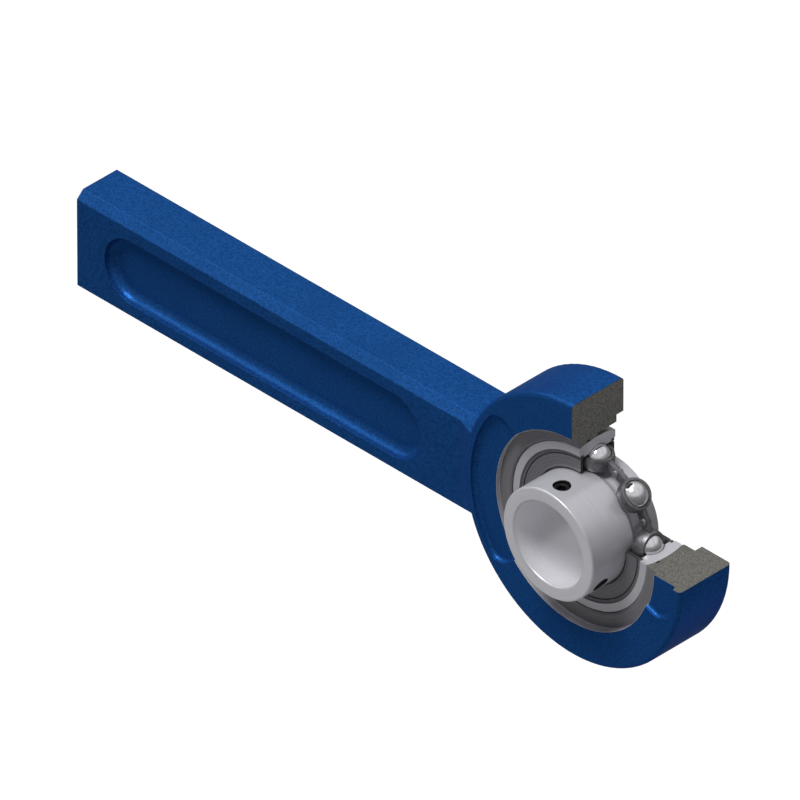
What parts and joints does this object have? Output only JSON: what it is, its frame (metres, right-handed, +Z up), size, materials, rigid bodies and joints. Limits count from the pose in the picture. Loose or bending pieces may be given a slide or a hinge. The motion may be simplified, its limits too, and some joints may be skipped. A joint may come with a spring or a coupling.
{
  "type": "take up bearing unit",
  "caption": "Cutaway take up bearing unit: a long cast bar ending in a ring, with a self-aligning sealed ball bearing insert whose balls, cage and raceways show in the cut quarter.",
  "frame": {"origin": "centre of the bearing, on the shaft axis in the middle plane of the housing ring", "axes": "+X along the bar from its free end towards the ring, +Y along the shaft towards the plain back face, +Z up across the bar"},
  "size_m": [0.2722, 0.0338, 0.0964],
  "materials": {
    "painted_casting": "blue enamel on the outside, bare metal on the machined and cut faces",
    "bearing_steel": "ground",
    "ball_steel": "polished",
    "cage_steel": "pressed, dark",
    "rivet_steel": "satin",
    "seal_rubber": "matt",
    "seal_plate": "dark satin",
    "black_screw": "black oxide"
  },
  "bodies": {
    "casting": {"housing": "painted_casting"},
    "bearing_outer": {"outer_ring": "bearing_steel", "seal_rubber_front": "seal_rubber", "seal_plate_front": "seal_plate", "seal_rubber_rear": "seal_rubber", "seal_plate_rear": "seal_plate"},
    "bearing_inner": {"inner_ring": "bearing_steel"},
    "cage": {"cage_front": "cage_steel", "cage_rear": "cage_steel", "cage_rivets": "rivet_steel"},
    "ball_1": {"ball_1": "ball_steel"},
    "ball_2": {"ball_2": "ball_steel"},
    "ball_3": {"ball_3": "ball_steel"},
    "ball_4": {"ball_4": "ball_steel"},
    "ball_5": {"ball_5": "ball_steel"},
    "ball_6": {"ball_6": "ball_steel"},
    "ball_7": {"ball_7": "ball_steel"},
    "ball_8": {"ball_8": "ball_steel"},
    "set_screw_1": {"set_screw_1": "black_screw"},
    "set_screw_2": {"set_screw_2": "black_screw"}
  },
  "joints": [
    {"name": "insert_swivel", "type": "hinge", "parent": "casting", "child": "bearing_outer", "pos_m": [0, 0, 0], "axis": [0, 0, 1], "range_deg": [-2.5, 2.5]},
    {"name": "inner_spin", "type": "hinge", "parent": "bearing_outer", "child": "bearing_inner", "pos_m": [0, 0, 0], "axis": [0, 1, 0], "continuous": true},
    {"name": "cage_orbit", "type": "hinge", "parent": "bearing_outer", "child": "cage", "pos_m": [0, 0, 0], "axis": [0, 1, 0], "continuous": true},
    {"name": "ball_1_spin", "type": "hinge", "parent": "cage", "child": "ball_1", "pos_m": [0.023, 0, 0], "axis": [0, 1, 0], "continuous": true},
    {"name": "ball_2_spin", "type": "hinge", "parent": "cage", "child": "ball_2", "pos_m": [0.01626, 0, 0.01626], "axis": [0, 1, 0], "continuous": true},
    {"name": "ball_3_spin", "type": "hinge", "parent": "cage", "child": "ball_3", "pos_m": [0, 0, 0.023], "axis": [0, 1, 0], "continuous": true},
    {"name": "ball_4_spin", "type": "hinge", "parent": "cage", "child": "ball_4", "pos_m": [-0.01626, 0, 0.01626], "axis": [0, 1, 0], "continuous": true},
    {"name": "ball_5_spin", "type": "hinge", "parent": "cage", "child": "ball_5", "pos_m": [-0.023, 0, 0], "axis": [0, 1, 0], "continuous": true},
    {"name": "ball_6_spin", "type": "hinge", "parent": "cage", "child": "ball_6", "pos_m": [-0.01626, 0, -0.01626], "axis": [0, 1, 0], "continuous": true},
    {"name": "ball_7_spin", "type": "hinge", "parent": "cage", "child": "ball_7", "pos_m": [0, 0, -0.023], "axis": [0, 1, 0], "continuous": true},
    {"name": "ball_8_spin", "type": "hinge", "parent": "cage", "child": "ball_8", "pos_m": [0.01626, 0, -0.01626], "axis": [0, 1, 0], "continuous": true},
    {"name": "set_screw_1_travel", "type": "slide", "parent": "bearing_inner", "child": "set_screw_1", "axis": [0, 0, 1], "range_m": [0, 0.002]},
    {"name": "set_screw_2_travel", "type": "slide", "parent": "bearing_inner", "child": "set_screw_2", "axis": [0.866, 0, -0.5], "range_m": [0, 0.002]}
  ],
  "couplings": [
    {"joint": "cage_orbit", "follows": "inner_spin", "ratio": 0.39647},
    {"joint": "ball_1_spin", "follows": "inner_spin", "ratio": -2.3112},
    {"joint": "ball_2_spin", "follows": "inner_spin", "ratio": -2.3112},
    {"joint": "ball_3_spin", "follows": "inner_spin", "ratio": -2.3112},
    {"joint": "ball_4_spin", "follows": "inner_spin", "ratio": -2.3112},
    {"joint": "ball_5_spin", "follows": "inner_spin", "ratio": -2.3112},
    {"joint": "ball_6_spin", "follows": "inner_spin", "ratio": -2.3112},
    {"joint": "ball_7_spin", "follows": "inner_spin", "ratio": -2.3112},
    {"joint": "ball_8_spin", "follows": "inner_spin", "ratio": -2.3112}
  ]
}
